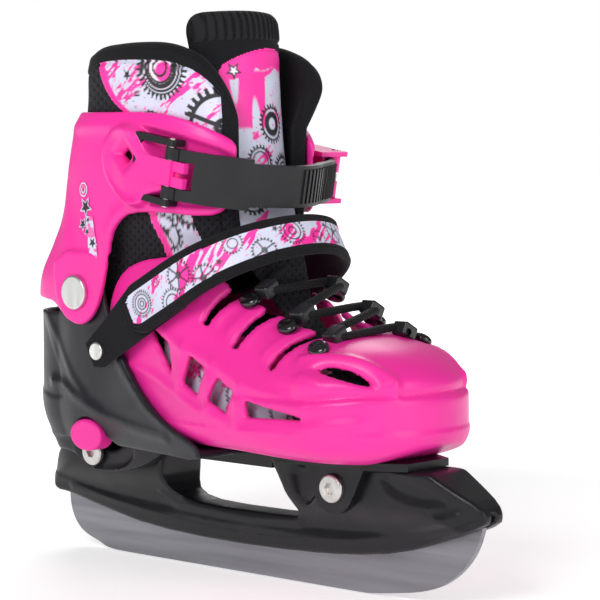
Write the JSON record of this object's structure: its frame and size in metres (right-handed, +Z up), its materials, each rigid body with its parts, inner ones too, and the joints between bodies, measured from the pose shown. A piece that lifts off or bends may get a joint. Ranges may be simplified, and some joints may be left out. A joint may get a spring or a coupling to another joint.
{
  "type": "ice skate",
  "caption": "Child's adjustable hard-shell ice skate with a hinged cuff, ratchet strap, laces, padded liner, plastic blade holder and flat steel blade.",
  "frame": {"origin": "centre of the blade's flat running edge, on the ice", "axes": "+X to the toe, +Z up, -Y the side with the size button, +Y the side with the buckle lever"},
  "size_m": [0.268, 0.1093, 0.2555],
  "materials": {
    "steel_blade": "ground stainless steel",
    "black_plastic": "satin moulded plastic",
    "heel_plastic": "satin moulded plastic with soft ridges",
    "zinc_fastener": "zinc-plated steel",
    "pink_plastic": "satin moulded plastic",
    "pink_shell": "satin moulded plastic",
    "liner_fabric": "padded knit mesh with printed panels",
    "tongue_fabric": "padded, printed front",
    "mesh_fabric": "black 3-D mesh",
    "foam": "fabric-covered foam",
    "rivet_steel": "satin nickel rivet",
    "strap_plastic": "flexible satin plastic",
    "strap_fabric": "padded printed strap with black binding",
    "hook_tape": "hook tape",
    "lace_cord": "round braided polyester",
    "webbing": "black webbing",
    "cap_plastic": "polished black plastic"
  },
  "bodies": {
    "chassis": {"blade": "steel_blade", "blade_holder": "black_plastic", "sole_plate": "black_plastic", "front_bolt": "zinc_fastener", "front_nut": "zinc_fastener", "rear_bolt": "zinc_fastener", "rear_nut": "zinc_fastener", "heel_base": "heel_plastic", "sole_screw": "zinc_fastener", "button_spring": "zinc_fastener", "slide_screws": "zinc_fastener", "liner_vamp": "liner_fabric", "footbed": "foam", "tongue_base": "mesh_fabric", "ankle_rivet_near": "rivet_steel", "ankle_rivet_far": "rivet_steel", "strap_rivets": "rivet_steel", "instep_strap": "strap_fabric", "loop_band": "hook_tape"},
    "toe_section": {"toe_shell": "pink_shell", "adjuster_rack": "black_plastic", "rack_screws": "zinc_fastener", "laces": "lace_cord", "lace_loops_near": "webbing", "lace_loops_far": "webbing", "lace_caps_near": "cap_plastic", "lace_caps_far": "cap_plastic"},
    "button": {"size_button": "pink_plastic", "size_latch": "black_plastic"},
    "cuff": {"cuff": "pink_shell", "liner_collar": "liner_fabric", "tongue_top": "tongue_fabric", "strap_anchor": "strap_plastic", "strap_arm": "pink_shell", "hinge_pin": "zinc_fastener", "buckle_base": "strap_plastic", "lever_pin": "zinc_fastener", "lever_spring": "zinc_fastener"},
    "ratchet_strap": {"ladder_strap": "strap_plastic"},
    "lever": {"buckle_lever": "pink_plastic", "drive_pawl": "strap_plastic"},
    "strap_end": {"strap_end": "strap_fabric", "hook_patch": "hook_tape"}
  },
  "joints": [
    {"name": "size_slide", "type": "slide", "parent": "chassis", "child": "toe_section", "axis": [1, 0, 0], "range_m": [0, 0.02]},
    {"name": "button_push", "type": "slide", "parent": "chassis", "child": "button", "axis": [0, 1, 0], "range_m": [0, 0.0035], "stiffness_N_per_m": 500, "springref_m": -0.002, "deforming": ["button_spring"]},
    {"name": "cuff_flex", "type": "hinge", "parent": "chassis", "child": "cuff", "pos_m": [-0.081, 0, 0.1285], "axis": [0, 1, 0], "range_deg": [-3, 2]},
    {"name": "strap_swing", "type": "hinge", "parent": "cuff", "child": "ratchet_strap", "pos_m": [-0.016, -0.0436, 0.185], "axis": [-0.1736, 0, -0.9848], "range_deg": [0, 95]},
    {"name": "lever_open", "type": "hinge", "parent": "cuff", "child": "lever", "pos_m": [-0.00221, 0.0509, 0.18257], "axis": [-0.1736, 0, -0.9848], "range_deg": [0, 75]},
    {"name": "strap_peel", "type": "hinge", "parent": "chassis", "child": "strap_end", "pos_m": [-0.0103, -0.0464, 0.13618], "axis": [-0.4695, 0, 0.8829], "range_deg": [0, 80]}
  ]
}
